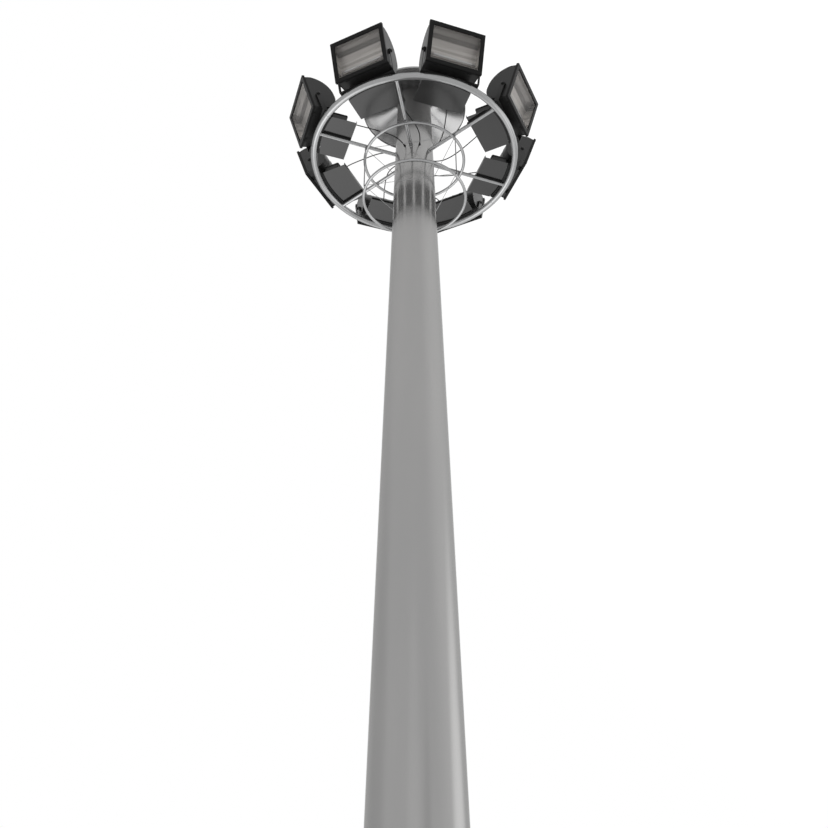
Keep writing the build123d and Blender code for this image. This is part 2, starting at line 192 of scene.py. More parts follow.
floor_mesh = bpy.data.meshes.new("floor")
half = FLOOR_SIZE / 2
floor_mesh.from_pydata([(-half, -half, 0), (half, -half, 0), (half, half, 0), (-half, half, 0)],
                       [], [(0, 1, 2, 3)])
floor = bpy.data.objects.new("floor", floor_mesh)
scene.collection.objects.link(floor)
floor_paint, pen = new_finish("pale_floor")
spot = pen.add("ShaderNodeTexCoord", output="Object")
glow = FLOOR_GLOW
for x, y, full, end, amount in FLOOR_PATCHES:
    away = pen.vector("DISTANCE", spot, (x, y, 0), "Value")
    glow = amount - amount * away.rise(full, end) + glow
pen.finish(Base_Color=grey(FLOOR_GREY), Roughness=0.9, Emission_Color=grey(1.0), Emission_Strength=glow)
floor_mesh.materials.append(floor_paint)

world = bpy.data.worlds.new("sky")
world.use_nodes = True
world.node_tree.nodes.clear()
pen = Signal(world.node_tree)
direction = pen.add("ShaderNodeTexCoord", output="Generated")
strength = 1.0
for azimuth, elevation, full, end, amount in SKY_PATCHES:
    aim = Matrix.Rotation(radians(azimuth), 3, "Z") @ Matrix.Rotation(radians(-elevation), 3, "Y")
    facing = pen.vector("DOT_PRODUCT", direction, aim @ Vector((1, 0, 0)), "Value")
    strength = amount * facing.rise(cos(radians(end)), cos(radians(full))) + strength
sky = pen.add("ShaderNodeBackground", {}, {"Color": grey(1.0), "Strength": strength})
pen.add("ShaderNodeOutputWorld", {}, {"Surface": sky})
scene.world = world
scene.view_settings.view_transform = "Standard"

# ---- lamp leads --------------------------------------------------------------
# Eight black rubber-sheathed cables. Each leaves a gland on the lid of its gear
# box, sags a little, and goes through a rubber grommet into the mast.
LEAD_D = 0.012
LEAD_LENGTHS = (0.853, 0.849, 0.849, 0.853, 0.853, 0.849, 0.849, 0.853)
GLAND_R = 1.000
GLAND_SIDE = 0.085
GLAND_RISE = 0.135
GLAND_LEAN = radians(45)
GLAND_L = 0.030
LEAD_START = 0.031
LEAD_SWING = radians(42)
LEAD_RISES = (0.020, 0.045, 0.045, 0.020, 0.020, 0.045, 0.045, 0.020)
GROMMET_L = 0.024
# Points of the route: along the box's middle line from the mast's axis, to its side,
# and up from the ring. All eight leads follow them.
LEAD_ROUTE = [
    (0.918, 0.097, 0.203), (0.865, 0.112, 0.200), (0.785, 0.135, 0.181), (0.700, 0.156, 0.157),
    (0.610, 0.177, 0.132), (0.520, 0.197, 0.107), (0.430, 0.212, 0.087), (0.340, 0.216, 0.068),
    (0.252, 0.200, 0.052),
]
MAST_BASE_R = 0.486
MAST_TAPER = 0.02495
MAST_WALL = 0.006

ring_low, ring_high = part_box("outer_ring")
ring_z = (ring_low.z + ring_high.z) / 2
ring_tube_r = (ring_high.z - ring_low.z) / 2
ring_r = ring_high.x - ring_tube_r
joints = sorted(frame["joints"], key=lambda joint: joint["name"])
lamp_azimuths = [atan2(joint["pos_m"][1], joint["pos_m"][0]) for joint in joints]


def mast_radius(height):
    """The mast's outer radius at a height."""
    return MAST_BASE_R - MAST_TAPER * height


def turned(azimuth):
    """A turn about the mast's axis."""
    return Matrix.Rotation(azimuth, 4, "Z")


def at(x, y, z):
    """A shift."""
    return Matrix.Translation((x, y, z))


def add_piece(name, data, finish, body="mast", place=None):
    """Show a mesh or a curve as a piece that moves with a body."""
    made = bpy.data.objects.new(name, data)
    scene.collection.objects.link(made)
    if place is not None:
        made.matrix_world = place
    if not data.materials:
        data.materials.append(finish)
    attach(made, body)
    return made


rubber_sheath, pen = new_finish("rubber_sheath")
scuffs = pen.noise(90.0, 5.0)
pen.finish(Base_Color=scuffs.rise(0.3, 0.75).between(grey(0.004), grey(0.009)),
           Roughness=0.42 + 0.2 * scuffs, Specular_IOR_Level=0.15, Normal=pen.bump(scuffs, 0.15, 0.0004))

gland_axis = Vector((-sin(GLAND_LEAN), 0, cos(GLAND_LEAN)))
gland_seat = Vector((GLAND_R, GLAND_SIDE, ring_z + GLAND_RISE))
grommet_places = []
for number, (azimuth, rise, length) in enumerate(zip(lamp_azimuths, LEAD_RISES, LEAD_LENGTHS), 1):
    entry_r = mast_radius(ring_z + rise) - MAST_WALL / 2
    entry = Vector((entry_r * cos(LEAD_SWING), entry_r * sin(LEAD_SWING), ring_z + rise))
    points = [gland_seat + gland_axis * GLAND_L, gland_seat + gland_axis * (GLAND_L + LEAD_START)]
    points += [Vector((x, y, ring_z + z)) for x, y, z in LEAD_ROUTE]
    inward = (entry - points[-1]).normalized()
    points.append(entry - inward * GROMMET_L)
    aim = inward.to_track_quat("Z", "Y").to_matrix().to_4x4()
    grommet_places.append(turned(azimuth) @ at(*points[-1]) @ aim)
    line = bpy.data.curves.new(f"lead_{number}", "CURVE")
    line.dimensions = "3D"
    line.bevel_depth = LEAD_D / 2
    line.bevel_resolution = 4
    line.resolution_u = 16
    line.use_fill_caps = True
    spline = line.splines.new("NURBS")
    spline.points.add(len(points) - 1)
    for knot, point in zip(spline.points, points):
        knot.co = (*(turned(azimuth) @ point), 1.0)
    spline.order_u = 3
    spline.use_endpoint_u = True
    lead = add_piece(f"lamp_lead_{number}", line, rubber_sheath)
    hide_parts(f"lead_{number}")

# ---- lead glands and grommets ------------------------------------------------
# Black plastic glands screwed into the gear boxes' lids, leaning to the mast, each
# with a rubber boot that tapers along its lead; rubber grommets in the mast's wall.
LEAD_HOLE_R = 0.0061
GLAND_SHANK_R = 0.0125
GLAND_BODY_ACROSS = 0.027
GLAND_CAP_ACROSS = 0.025


def shell(bm, name, angle=35):
    """A mesh of a bmesh, smooth but for edges sharper than the angle."""
    mesh = bpy.data.meshes.new(name)
    bmesh.ops.recalc_face_normals(bm, faces=bm.faces)
    bm.to_mesh(mesh)
    bm.free()
    mesh.shade_smooth()
    mesh.set_sharp_from_angle(angle=radians(angle))
    return mesh


def lathe(profile, sides=24, closed=False):
    """A profile of (radius, height) points turned about Z."""
    bm = bmesh.new()
    rings = []
    full_turn = [(cos(2 * pi * i / sides), sin(2 * pi * i / sides)) for i in range(sides)]
    for radius, height in profile:
        around = full_turn if radius > 0 else full_turn[:1]
        rings.append([bm.verts.new((radius * x, radius * y, height)) for x, y in around])
    for one, two in zip(rings, rings[1:] + (rings[:1] if closed else [])):
        for i in range(sides):
            ends = (one[i % len(one)], one[(i + 1) % len(one)], two[(i + 1) % len(two)], two[i % len(two)])
            corners = list(dict.fromkeys(ends))
            if len(corners) > 2:
                bm.faces.new(corners)
    return shell(bm, "turned")


def gather(name, parts, angle=35):
    """One mesh of several, each a mesh with its place."""
    bm = bmesh.new()
    for mesh, place in parts:
        copy = mesh.copy()
        copy.transform(place)
        bm.from_mesh(copy)
        bpy.data.meshes.remove(copy)
    return shell(bm, name, angle)


def everywhere(name, mesh, places, angle=35):
    """One mesh repeated at several places."""
    return gather(name, [(mesh, place) for place in places], angle)


def hexagon(across, low, high, ease=0.0008):
    """A hexagonal prism with its rims eased."""
    corner = across / 2 / cos(pi / 6)
    return lathe([(0, low), (corner - ease, low), (corner, low + ease), (corner, high - ease),
                  (corner - 2 * ease, high), (0, high)], 6)


UNMOVED = Matrix.Identity(4)

black_gland_plastic, pen = new_finish("black_gland_plastic")
grain = pen.noise(300.0, 3.0)
pen.finish(Base_Color=grey(0.022), Roughness=0.38 + 0.15 * grain)
gland = gather("gland", [
    (lathe([(0, -0.014), (GLAND_SHANK_R, -0.014), (GLAND_SHANK_R, 0.005), (0, 0.005)]), UNMOVED),
    (hexagon(GLAND_BODY_ACROSS, 0.004, 0.013), UNMOVED),
    (lathe([(0.0118, 0.012), (0.0118, 0.018)]), UNMOVED),
    (hexagon(GLAND_CAP_ACROSS, 0.0165, 0.026), UNMOVED),
    (lathe([(0.0122, 0.025), (0.0118, 0.0285), (0.0095, 0.0315), (0.0062, 0.032)]), UNMOVED),
])
boot = lathe([(LEAD_HOLE_R, 0.029), (0.0096, 0.030), (0.0096, 0.034), (0.0088, 0.0345), (0.0088, 0.038),
              (0.0093, 0.0385), (0.0091, 0.043), (0.0082, 0.0435), (0.0082, 0.047), (0.0086, 0.0475),
              (0.0083, 0.052), (0.0074, 0.0525), (0.0071, 0.058), (0.0067, 0.065), (LEAD_HOLE_R, 0.065)],
             closed=True)
gland_places = [turned(azimuth) @ at(*gland_seat) @ Matrix.Rotation(-GLAND_LEAN, 4, "Y")
                for azimuth in lamp_azimuths]
glands = add_piece("glands", everywhere("glands", gland, gland_places), black_gland_plastic)
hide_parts("gear_box_glands")
add_piece("gland_boots", everywhere("boots", boot, gland_places), rubber_sheath)

grommet = lathe([(LEAD_HOLE_R, 0), (0.0082, 0), (0.0094, 0.003), (0.0102, 0.011), (0.0128, 0.0135),
                 (0.0130, 0.016), (0.0130, 0.032), (LEAD_HOLE_R, 0.032)], closed=True)
grommets = everywhere("grommets", grommet, grommet_places)
grommets = add_piece("grommets", grommets, rubber_sheath)
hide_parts("lead_grommets")

# ---- mast --------------------------------------------------------------------
# A tapered steel tube, rolled and welded along one seam, with a smooth metallic
# finish that mirrors the sky softly. Its foot is welded to the flange.
MAST_FOOT_Z = 0.035
MAST_TOP_Z = 11.150
SEAM_AZ = radians(62)
SEAM_R = 0.0045
SEAM_SUNK = 0.0014
FOOT_WELD_R = 0.008
FOOT_WELD_OFF = 0.001


def paint_node(material, *nodes):
    """Give CAD nodes a finish."""
    for name in nodes:
        slots = frame["nodes"][name].data.materials
        slots.clear()
        slots.append(material)


mast_metal, pen = new_finish("mast_metal")
weather = pen.noise(1.3, 5.0, 0.6, (1.0, 1.0, 0.2))
grain = pen.noise(140.0, 3.0)
# The cone's own normal, wherever a face lies along the cone.
cone_out = pen.vector("MULTIPLY", pen.add("ShaderNodeNewGeometry", output="Position"), (1, 1, 0))
cone_out = pen.vector("ADD", pen.vector("NORMALIZE", cone_out), (0, 0, MAST_TAPER))
cone_out = pen.vector("NORMALIZE", cone_out)
face_out = pen.add("ShaderNodeNewGeometry", output="True Normal")
on_cone = pen.vector("DOT_PRODUCT", cone_out, face_out, "Value").rise(0.90, 0.95)
mesh_normal = pen.add("ShaderNodeNewGeometry", output="Normal")
cone_normal = pen.add("ShaderNodeMix", {"data_type": "VECTOR"}, {0: on_cone, 4: mesh_normal, 5: cone_out}, 1)
pen.finish(Base_Color=weather.rise(0.25, 0.8).between(grey(0.295, 0.006), grey(0.325, 0.012)),
           Metallic=0.82, Specular_Tint=grey(0.58), Roughness=0.14 + 0.07 * weather + 0.03 * grain,
           Normal=pen.bump(weather, 0.04, 0.004, cone_normal))
paint_node(mast_metal, "mast_shaft")

# The directions that the welds are laid out in, and one that no weld runs along.
X, Y, Z = Vector((1, 0, 0)), Vector((0, 1, 0)), Vector((0, 0, 1))
ASKEW = Vector((0.31, 0.52, 0.795)).normalized()


def bead(points, radius, closed=False, ripple=0.0, sides=8):
    """A round bar or weld bead along points, rippled as a weld is."""
    bm = bmesh.new()
    rings = []
    last = len(points) - 1
    for i, point in enumerate(points):
        ahead = points[(i + 1) % (last + 1)] if closed else points[min(i + 1, last)]
        behind = points[i - 1] if closed else points[max(i - 1, 0)]
        along = (ahead - behind).normalized()
        side = (ASKEW - along * ASKEW.dot(along)).normalized()
        up = along.cross(side)
        size = radius * (1 + ripple * (i % 2))
        edge = [side * cos(2 * pi * k / sides) + up * sin(2 * pi * k / sides) for k in range(sides)]
        rings.append([bm.verts.new(point + away * size) for away in edge])
    for one, two in zip(rings, rings[1:] + (rings[:1] if closed else [])):
        for k in range(sides):
            bm.faces.new((one[k], one[(k + 1) % sides], two[(k + 1) % sides], two[k]))
    if not closed:
        bm.faces.new(rings[0])
        bm.faces.new(rings[-1])
    return shell(bm, "bead", 60)


def between_points(start, end, step):
    """Points along a straight line."""
    count = max(2, round((end - start).length / step))
    return [start.lerp(end, i / count) for i in range(count + 1)]


def loop(radius, count, centre, across, up):
    """Points round a circle in the plane of two directions."""
    return [centre + across * (radius * cos(2 * pi * i / count)) + up * (radius * sin(2 * pi * i / count))
            for i in range(count)]


weld_metal, pen = new_finish("weld_metal")
grain = pen.noise(220.0, 4.0)
pen.finish(Base_Color=grain.between(grey(0.26), grey(0.36)), Metallic=0.7, Roughness=0.3 + 0.15 * grain,
           Normal=pen.bump(grain, 0.3, 0.0006))
seam_ends = [turned(SEAM_AZ) @ Vector((mast_radius(z) - SEAM_SUNK, 0, z)) for z in (MAST_FOOT_Z, MAST_TOP_Z)]
seam = bead(between_points(*seam_ends, 0.03), SEAM_R, ripple=0.05)
add_piece("mast_seam", seam, weld_metal)
foot_line = loop(mast_radius(MAST_FOOT_Z) + FOOT_WELD_OFF, 360, Z * (MAST_FOOT_Z + FOOT_WELD_OFF), X, Y)
foot_weld = bead(foot_line, FOOT_WELD_R, closed=True, ripple=0.08)
add_piece("mast_foot_weld", foot_weld, weld_metal)

# ---- base flange -------------------------------------------------------------
# A round galvanised steel plate with sixteen gussets welded to it and to the mast.
# Nuts on washers hold it down on the anchor bolts, whose threaded ends stand out.
FLANGE_TOP = 0.035
BOLT_CIRCLE_R = 0.580
ANCHORS = 16
ANCHOR_WASHER_R = 0.033
ANCHOR_WASHER_T = 0.005
ANCHOR_NUT_ACROSS = 0.055
ANCHOR_NUT_TOP = 0.034
ANCHOR_TIP = 0.0595
THREAD_R = 0.0180
THREAD_ROOT_R = 0.0169
THREAD_PITCH = 0.0015
THREADS = 16
GUSSET_T = 0.016
GUSSET_TOP = 0.335
GUSSET_FOOT_R = 0.635
GUSSET_WELD_R = 0.0045
WELD_PROUD = 0.0008


def galvanised(name, light, gloss, spangle):
    """Zinc coat: flat crystals of slightly different grey, under faint clouds."""
    finish, pen = new_finish(name)
    place = pen.add("ShaderNodeTexCoord", output="Object")
    flakes = pen.add("ShaderNodeTexVoronoi", {}, {"Vector": place, "Scale": spangle}, "Color")
    flakes = pen.add("ShaderNodeRGBToBW", {}, {0: flakes})
    clouds = pen.noise(7.0, 4.0)
    tone = 0.55 * flakes + 0.45 * clouds
    pen.finish(Base_Color=tone.rise(0.15, 0.85).between(grey(light * 0.86), grey(light, -0.01)),
               Metallic=0.85, Specular_Tint=grey(0.5), Roughness=gloss + 0.07 * tone)
    return finish


dull_zinc = galvanised("dull_zinc", 0.42, 0.36, 110.0)
bright_zinc = galvanised("bright_zinc", 0.32, 0.05, 160.0)
paint_node(dull_zinc, "base_flange", "base_gussets")

plated_steel, pen = new_finish("plated_steel")
grain = pen.noise(260.0, 3.0)
pen.finish(Base_Color=grain.between(grey(0.42), grey(0.58)), Metallic=0.9, Roughness=0.26 + 0.15 * grain)


def washer(radius, thick, under=0.0006, over=0.0006, inset=0.0005, sides=24):
    """A flat washer with its rims eased."""
    return lathe([(0, 0), (radius - inset, 0), (radius, under), (radius, thick - over),
                  (radius - inset, thick), (0, thick)], sides)


thread = [(0, ANCHOR_NUT_TOP)]
for turn in range(THREADS):
    crest = ANCHOR_NUT_TOP + THREAD_PITCH * turn
    thread += [(THREAD_R, crest), (THREAD_ROOT_R, crest + THREAD_PITCH / 2)]
thread += [(THREAD_R - 0.0025, ANCHOR_TIP), (0, ANCHOR_TIP)]
anchor = gather("anchor", [
    (washer(ANCHOR_WASHER_R, ANCHOR_WASHER_T, sides=32), UNMOVED),
    (hexagon(ANCHOR_NUT_ACROSS, ANCHOR_WASHER_T, ANCHOR_NUT_TOP, 0.0018), UNMOVED),
    (lathe(thread), UNMOVED),
])
anchor_places = [turned(2 * pi * i / ANCHORS) @ at(BOLT_CIRCLE_R, 0, FLANGE_TOP) @ turned(0.7 * i)
                 for i in range(ANCHORS)]
add_piece("anchor_nuts", everywhere("anchors", anchor, anchor_places), plated_steel)

gusset_welds = []
for side in (-1, 1):
    beside = side * (GUSSET_T / 2 + WELD_PROUD)
    top = Vector((mast_radius(GUSSET_TOP) + 0.0015, beside, GUSSET_TOP))
    corner = Vector((mast_radius(FLANGE_TOP) + 0.002, beside, FLANGE_TOP + 0.0015))
    foot = Vector((GUSSET_FOOT_R, beside, FLANGE_TOP + WELD_PROUD))
    for ends in ((top, corner), (corner, foot)):
        gusset_welds.append(bead(between_points(*ends, 0.007), GUSSET_WELD_R, ripple=0.12, sides=6))
gusset_turns = [turned(2 * pi * (i + 0.5) / ANCHORS) for i in range(ANCHORS)]
gusset_welds = gather("gusset_welds", [(weld, turn) for turn in gusset_turns for weld in gusset_welds])
add_piece("gusset_welds", gusset_welds, weld_metal)

# ---- service hatch -----------------------------------------------------------
# A flat frame welded round the opening in the mast, and a steel cover on a rubber
# gasket, held by six flanged hexagon screws.
HATCH_AZ = pi / 2
HATCH_Z = 0.850
HATCH_STAND = 0.014
COVER_T = 0.005
# Half the width, half the height and the radius of the corners.
COVER_OUTLINE = (0.148, 0.328, 0.058)
HATCH_FRAME_OUTLINE = (0.160, 0.340, 0.070)
HATCH_WELD_R = 0.005
GASKET_R = 0.0022
SCREW_FLANGE_R = 0.0105
SCREW_ACROSS = 0.0150
SCREW_Y = 0.134
SCREW_Z = 0.240


def rounded(half_width, half_height, corner, steps=8):
    """Points round a rectangle with round corners, as (across, up) pairs."""
    points = []
    for sign_x, sign_y, start in ((1, 1, 0), (-1, 1, 1), (-1, -1, 2), (1, -1, 3)):
        for step in range(steps + 1):
            angle = (start + step / steps) * pi / 2
            points.append((sign_x * (half_width - corner) + corner * cos(angle),
                           sign_y * (half_height - corner) + corner * sin(angle)))
    return points


hatch_face = mast_radius(HATCH_Z) + HATCH_STAND
paint_node(mast_metal, "hatch_cover", "hatch_frame")
gasket_line = [Vector((hatch_face + 0.001, y, HATCH_Z + z)) for y, z in rounded(*COVER_OUTLINE)]
gasket = bead(gasket_line, GASKET_R, closed=True)
add_piece("hatch_gasket", gasket, rubber_sheath, place=turned(HATCH_AZ))
weld_line = []
for y, z in rounded(*HATCH_FRAME_OUTLINE, 16):
    weld_line.append(Vector((sqrt(mast_radius(HATCH_Z + z) ** 2 - y ** 2) + 0.001, y, HATCH_Z + z)))
hatch_weld = bead(weld_line, HATCH_WELD_R, closed=True, ripple=0.1)
add_piece("hatch_weld", hatch_weld, weld_metal, place=turned(HATCH_AZ))

screw = gather("screw", [
    (lathe([(0, 0), (SCREW_FLANGE_R, 0), (0.0108, 0.0008), (0.009, 0.0022), (0, 0.0022)]), UNMOVED),
    (hexagon(SCREW_ACROSS, 0.0015, 0.0078), UNMOVED),
])
outward = Matrix.Rotation(pi / 2, 4, "Y")
screw_places = [turned(HATCH_AZ) @ at(hatch_face + COVER_T, y, HATCH_Z + z) @ outward
                for y in (-SCREW_Y, SCREW_Y) for z in (-SCREW_Z, 0, SCREW_Z)]
screws = add_piece("hatch_screws", everywhere("screws", screw, screw_places), plated_steel)
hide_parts("hatch_bolts")

# ---- head ring, spokes and cable cage ----------------------------------------
# Round galvanised tube: one large ring in four welded lengths, six spokes from the
# mast, and below them two thin rings held by three rods and level ties.
SPOKE_AZ = radians(20.5)
SPOKE_R = 0.0212
SPOKES = 6
CAGE_R = 0.592
CAGE_TUBE_R = 0.01685
CAGE_ROD_R = 0.006
CAGE_RODS = 3
CAGE_TOP = 0.03825
CAGE_DROP = 0.610
RING_JOINTS = 4
RING_JOINT_AZ = radians(35)
RING_WELD_R = 0.0026
SPOKE_WELD_R = 0.0042
CAGE_WELD_R = 0.0036
ROD_TOP_WELD_R = 0.0022
ROD_SIDE_WELD_R = 0.0026

paint_node(bright_zinc, "outer_ring", "spokes")
paint_node(bright_zinc, "cage_ring_upper", "cage_ring_lower", "cage_rods", "cage_ties")
spoke_turns = [turned(SPOKE_AZ + 2 * pi * i / SPOKES) for i in range(SPOKES)]
rod_turns = spoke_turns[1::SPOKES // CAGE_RODS]

ring_section = loop(ring_tube_r, 48, X * ring_r + Z * ring_z, X, Z)
ring_joint = bead(ring_section, RING_WELD_R, closed=True, ripple=0.15)
outer_joint, inner_joint = [], []
for point in loop(SPOKE_R + WELD_PROUD, 44, Vector((0, 0, 0)), Y, Z):
    hollow = ring_r - sqrt((ring_tube_r + WELD_PROUD) ** 2 - point.z ** 2)
    outer_joint.append(Vector((sqrt(hollow ** 2 - point.y ** 2), point.y, ring_z + point.z)))
    mast_x = sqrt((mast_radius(ring_z + point.z) + WELD_PROUD) ** 2 - point.y ** 2)
    inner_joint.append(Vector((mast_x, point.y, ring_z + point.z)))
spoke_joints = [bead(joint, SPOKE_WELD_R, closed=True, ripple=0.15) for joint in (outer_joint, inner_joint)]
cage_joints = []
for side in (-1, 1):
    under = Vector((CAGE_R + side * 0.0105, 0, ring_z - SPOKE_R - 0.0030))
    along_spoke = between_points(under - Y * 0.013, under + Y * 0.013, 0.003)
    cage_joints.append(bead(along_spoke, CAGE_WELD_R, ripple=0.15))
rod_r = CAGE_R + CAGE_TUBE_R + CAGE_ROD_R
round_rod = loop(CAGE_ROD_R + 0.001, 20, X * rod_r + Z * (ring_z - SPOKE_R), X, Y)
rod_joints = [bead(round_rod, ROD_TOP_WELD_R, closed=True)]
for low in (CAGE_TOP, CAGE_TOP + CAGE_DROP):
    for side in (-1, 1):
        beside = Vector((CAGE_R + CAGE_TUBE_R + 0.0015, side * (CAGE_ROD_R + 0.0005), ring_z - low))
        along_rod = between_points(beside - Z * 0.007, beside + Z * 0.007, 0.0028)
        rod_joints.append(bead(along_rod, ROD_SIDE_WELD_R, ripple=0.15, sides=6))
ring_turns = [turned(RING_JOINT_AZ + 2 * pi * i / RING_JOINTS) for i in range(RING_JOINTS)]
frame_welds = [(ring_joint, turn) for turn in ring_turns]
frame_welds += [(joint, turn) for joint in spoke_joints + cage_joints for turn in spoke_turns]
frame_welds += [(joint, turn) for joint in rod_joints for turn in rod_turns]
add_piece("frame_welds", gather("frame_welds", frame_welds, 60), dull_zinc)

# ---- rain hood ---------------------------------------------------------------
# A low cone of painted sheet over the mast's head, of eight sectors that are lapped
# and riveted, with a turned-down hem and a small cap over the apex.
HOOD_RIM_Z = 11.200
HOOD_R = 0.640
HOOD_H = 0.280
HOOD_LAPS = 8
LAP_START = 0.055
LAP_END = 0.005
LAP_W = 0.026
LAP_T = 0.0020
RIVETS = 8
RIVET_START = 0.095
RIVET_PITCH = 0.070

hood_metal, pen = new_finish("hood_metal")
haze = pen.noise(2.2, 4.0)
pen.finish(Base_Color=haze.rise(0.3, 0.75).between(grey(0.26), grey(0.30, 0.004)), Metallic=0.8,
           Roughness=0.10 + 0.08 * haze)
paint_node(hood_metal, "rain_hood")


def plate(length, width, thick, ease=0.0008):
    """A flat block with eased edges, centred on the origin."""
    bm = bmesh.new()
    bmesh.ops.create_cube(bm, size=1)
    bmesh.ops.scale(bm, vec=(length, width, thick), verts=bm.verts)
    bmesh.ops.bevel(bm, geom=list(bm.edges), offset=ease, segments=2, profile=0.5, affect="EDGES")
    return shell(bm, "plate", 50)


slope = atan2(HOOD_H, HOOD_R)
slant = hypot(HOOD_H, HOOD_R)
down_slope = at(0, 0, HOOD_RIM_Z + HOOD_H) @ Matrix.Rotation(slope, 4, "Y")
lap_turns = [turned(2 * pi * (i + 0.25) / HOOD_LAPS) @ down_slope for i in range(HOOD_LAPS)]
lap = plate(slant - LAP_START - LAP_END, LAP_W, LAP_T, 0.0006)
rivet = lathe([(0.0040, 0), (0.0038, 0.0010), (0.0026, 0.0019), (0, 0.0023)], 12)
cap = lathe([(0, 0.0075), (0.020, 0.0060), (0.052, -0.0085), (0.075, -0.0320), (0.0745, -0.0345)], 48)
laps = [(lap, turn @ at((slant + LAP_START - LAP_END) / 2, 0, 0.0008)) for turn in lap_turns]
laps.append((cap, at(0, 0, HOOD_RIM_Z + HOOD_H)))
add_piece("hood_laps", gather("hood_laps", laps), hood_metal)
rivet_places = [turn @ at(RIVET_START + RIVET_PITCH * i, 0, 0.0017)
                for turn in lap_turns for i in range(RIVETS)]
add_piece("hood_rivets", everywhere("rivets", rivet, rivet_places, 50), plated_steel)

# ---- gear trays and packers --------------------------------------------------
# Eight folded steel trays in glossy dark paint lie on the spokes, bolted down, on
# black rubber strips; thicker black strips on the ring carry the yokes. The strips' black also stands in for
# painted shade in the gap under each tray.
TRAY_TOP = 0.029
TRAY_BOLTS = [(0.850, -0.190), (0.850, 0.190), (1.112, -0.215), (1.112, 0.215)]
TRAY_WASHER_R = 0.0106
TRAY_WASHER_T = 0.002
TRAY_NUT_ACROSS = 0.0165
TRAY_NUT_TOP = 0.0085

glossy_tray_paint, pen = new_finish("glossy_tray_paint")
film = pen.noise(9.0, 4.0)
pen.finish(Base_Color=film.between(grey(0.007), grey(0.011, 0.01)), Roughness=0.15 + 0.07 * film,
           Specular_IOR_Level=0.55)
paint_node(glossy_tray_paint, "gear_trays")

# Real rubber packers, and their black also paints the shade and dark reflection between each tray and the
# spoke or ring below it.
packer_rubber_and_gap_shade, pen = new_finish("packer_rubber_and_gap_shade")
grain = pen.noise(150.0, 4.0)
pen.finish(Base_Color=grain.between(grey(0.008), grey(0.018)), Roughness=0.6 + 0.2 * grain,
           Specular_IOR_Level=0.2, Normal=pen.bump(grain, 0.2, 0.0005))
paint_node(packer_rubber_and_gap_shade, "ring_packers", "spoke_packers")

small_bolt = gather("small_bolt", [
    (washer(TRAY_WASHER_R, TRAY_WASHER_T, under=0.0005, over=0.0005, inset=0.0003), UNMOVED),
    (hexagon(TRAY_NUT_ACROSS, TRAY_WASHER_T, TRAY_NUT_TOP), UNMOVED),
])
tray_bolts = [turned(azimuth) @ at(x, y, ring_z + TRAY_TOP)
              for azimuth in lamp_azimuths for x, y in TRAY_BOLTS]
add_piece("tray_bolts", everywhere("tray_bolts", small_bolt, tray_bolts), plated_steel)

# ---- gear boxes --------------------------------------------------------------
# Painted steel boxes that hold each lamp's ballast. Four lugs bolt a box to its
# tray, and its lid has a raised panel and six cross-head screws.
BOX_MID_R = 1.000
BOX_HALF_W = 0.264
LID_TOP = 0.135
LUG_X = (0.945, 1.055)
LUG_W = 0.034
LUG_T = 0.003
LID_SCREW_X = (0.921, 1.079)
LID_SCREW_Y = (-0.245, 0, 0.245)
LID_PANEL = (0.132, 0.452, 0.0035)
CROSS_L = 0.0056
CROSS_W = 0.0011

box_paint, pen = new_finish("box_paint")
grain = pen.noise(230.0, 3.0)
pen.finish(Base_Color=grain.between(grey(0.008), grey(0.014)), Roughness=0.32 + 0.14 * grain,
           Specular_IOR_Level=0.3, Normal=pen.bump(grain, 0.1, 0.0004))
paint_node(box_paint, "gear_boxes", "gear_box_lids")

lug = gather("lug", [
    (plate(LUG_W, 0.022, LUG_T), at(0, 0.011, LUG_T / 2)),
    (plate(LUG_W, LUG_T, 0.030), at(0, 0.0012, 0.015)),
    (small_bolt, at(0, 0.0125, LUG_T) @ Matrix.Scale(0.8, 4)),
])
lid_screw = gather("lid_screw", [
    (lathe([(0.0052, 0), (0.0052, 0.0012), (0.0044, 0.0026), (0.0022, 0.0031), (0, 0.0032)], 16), UNMOVED),
    (plate(CROSS_L, CROSS_W, 0.0006, 0.0002), at(0, 0, 0.0032)),
    (plate(CROSS_W, CROSS_L, 0.0006, 0.0002), at(0, 0, 0.0032)),
])
lid_panel = plate(*LID_PANEL, 0.0014)
lugs, lid_panels, lid_screws = [], [], []
for azimuth in lamp_azimuths:
    middle = turned(azimuth) @ at(0, 0, ring_z)
    for x in LUG_X:
        lugs.append((lug, middle @ at(x, BOX_HALF_W, TRAY_TOP)))
        lugs.append((lug, middle @ at(x, -BOX_HALF_W, TRAY_TOP) @ turned(pi)))
    lid_panels.append((lid_panel, middle @ at(BOX_MID_R, 0, LID_TOP + 0.0008)))
    lid_screws += [(lid_screw, middle @ at(x, y, LID_TOP)) for x in LID_SCREW_X for y in LID_SCREW_Y]
add_piece("gear_box_panels", gather("gear_box_panels", lugs + lid_panels), box_paint)
add_piece("lid_screws", gather("lid_screws", lid_screws), plated_steel)

# ---- yokes -------------------------------------------------------------------
# Bent flat bar in black powder coat, one for each lamp, bolted down over the ring.
# The lamp turns between its arms on two bolts with large nuts and washers.
YOKE_FOOT_R = 1.190
YOKE_FOOT_TOP = 0.051
YOKE_BOLTS = (-0.165, 0.0, 0.165)
BOLT_R = 0.008
BOLT_END = 0.018
WASHER_T = 0.003
NUT_TOP = 0.013
FOOT_WASHER_R = 0.017
FOOT_NUT_ACROSS = 0.024
PIVOT_R = 1.285
PIVOT_RISE = 0.300
PIVOT_NUT_Y = 0.3413
PIVOT_WASHER_R = 0.022
PIVOT_NUT_ACROSS = 0.034

yoke_powder_coat, pen = new_finish("yoke_powder_coat")
grain = pen.noise(200.0, 3.0)
pen.finish(Base_Color=grain.between(grey(0.008), grey(0.012)), Roughness=0.32 + 0.14 * grain,
           Specular_IOR_Level=0.29, Normal=pen.bump(grain, 0.12, 0.0004))
paint_node(yoke_powder_coat, "yokes")

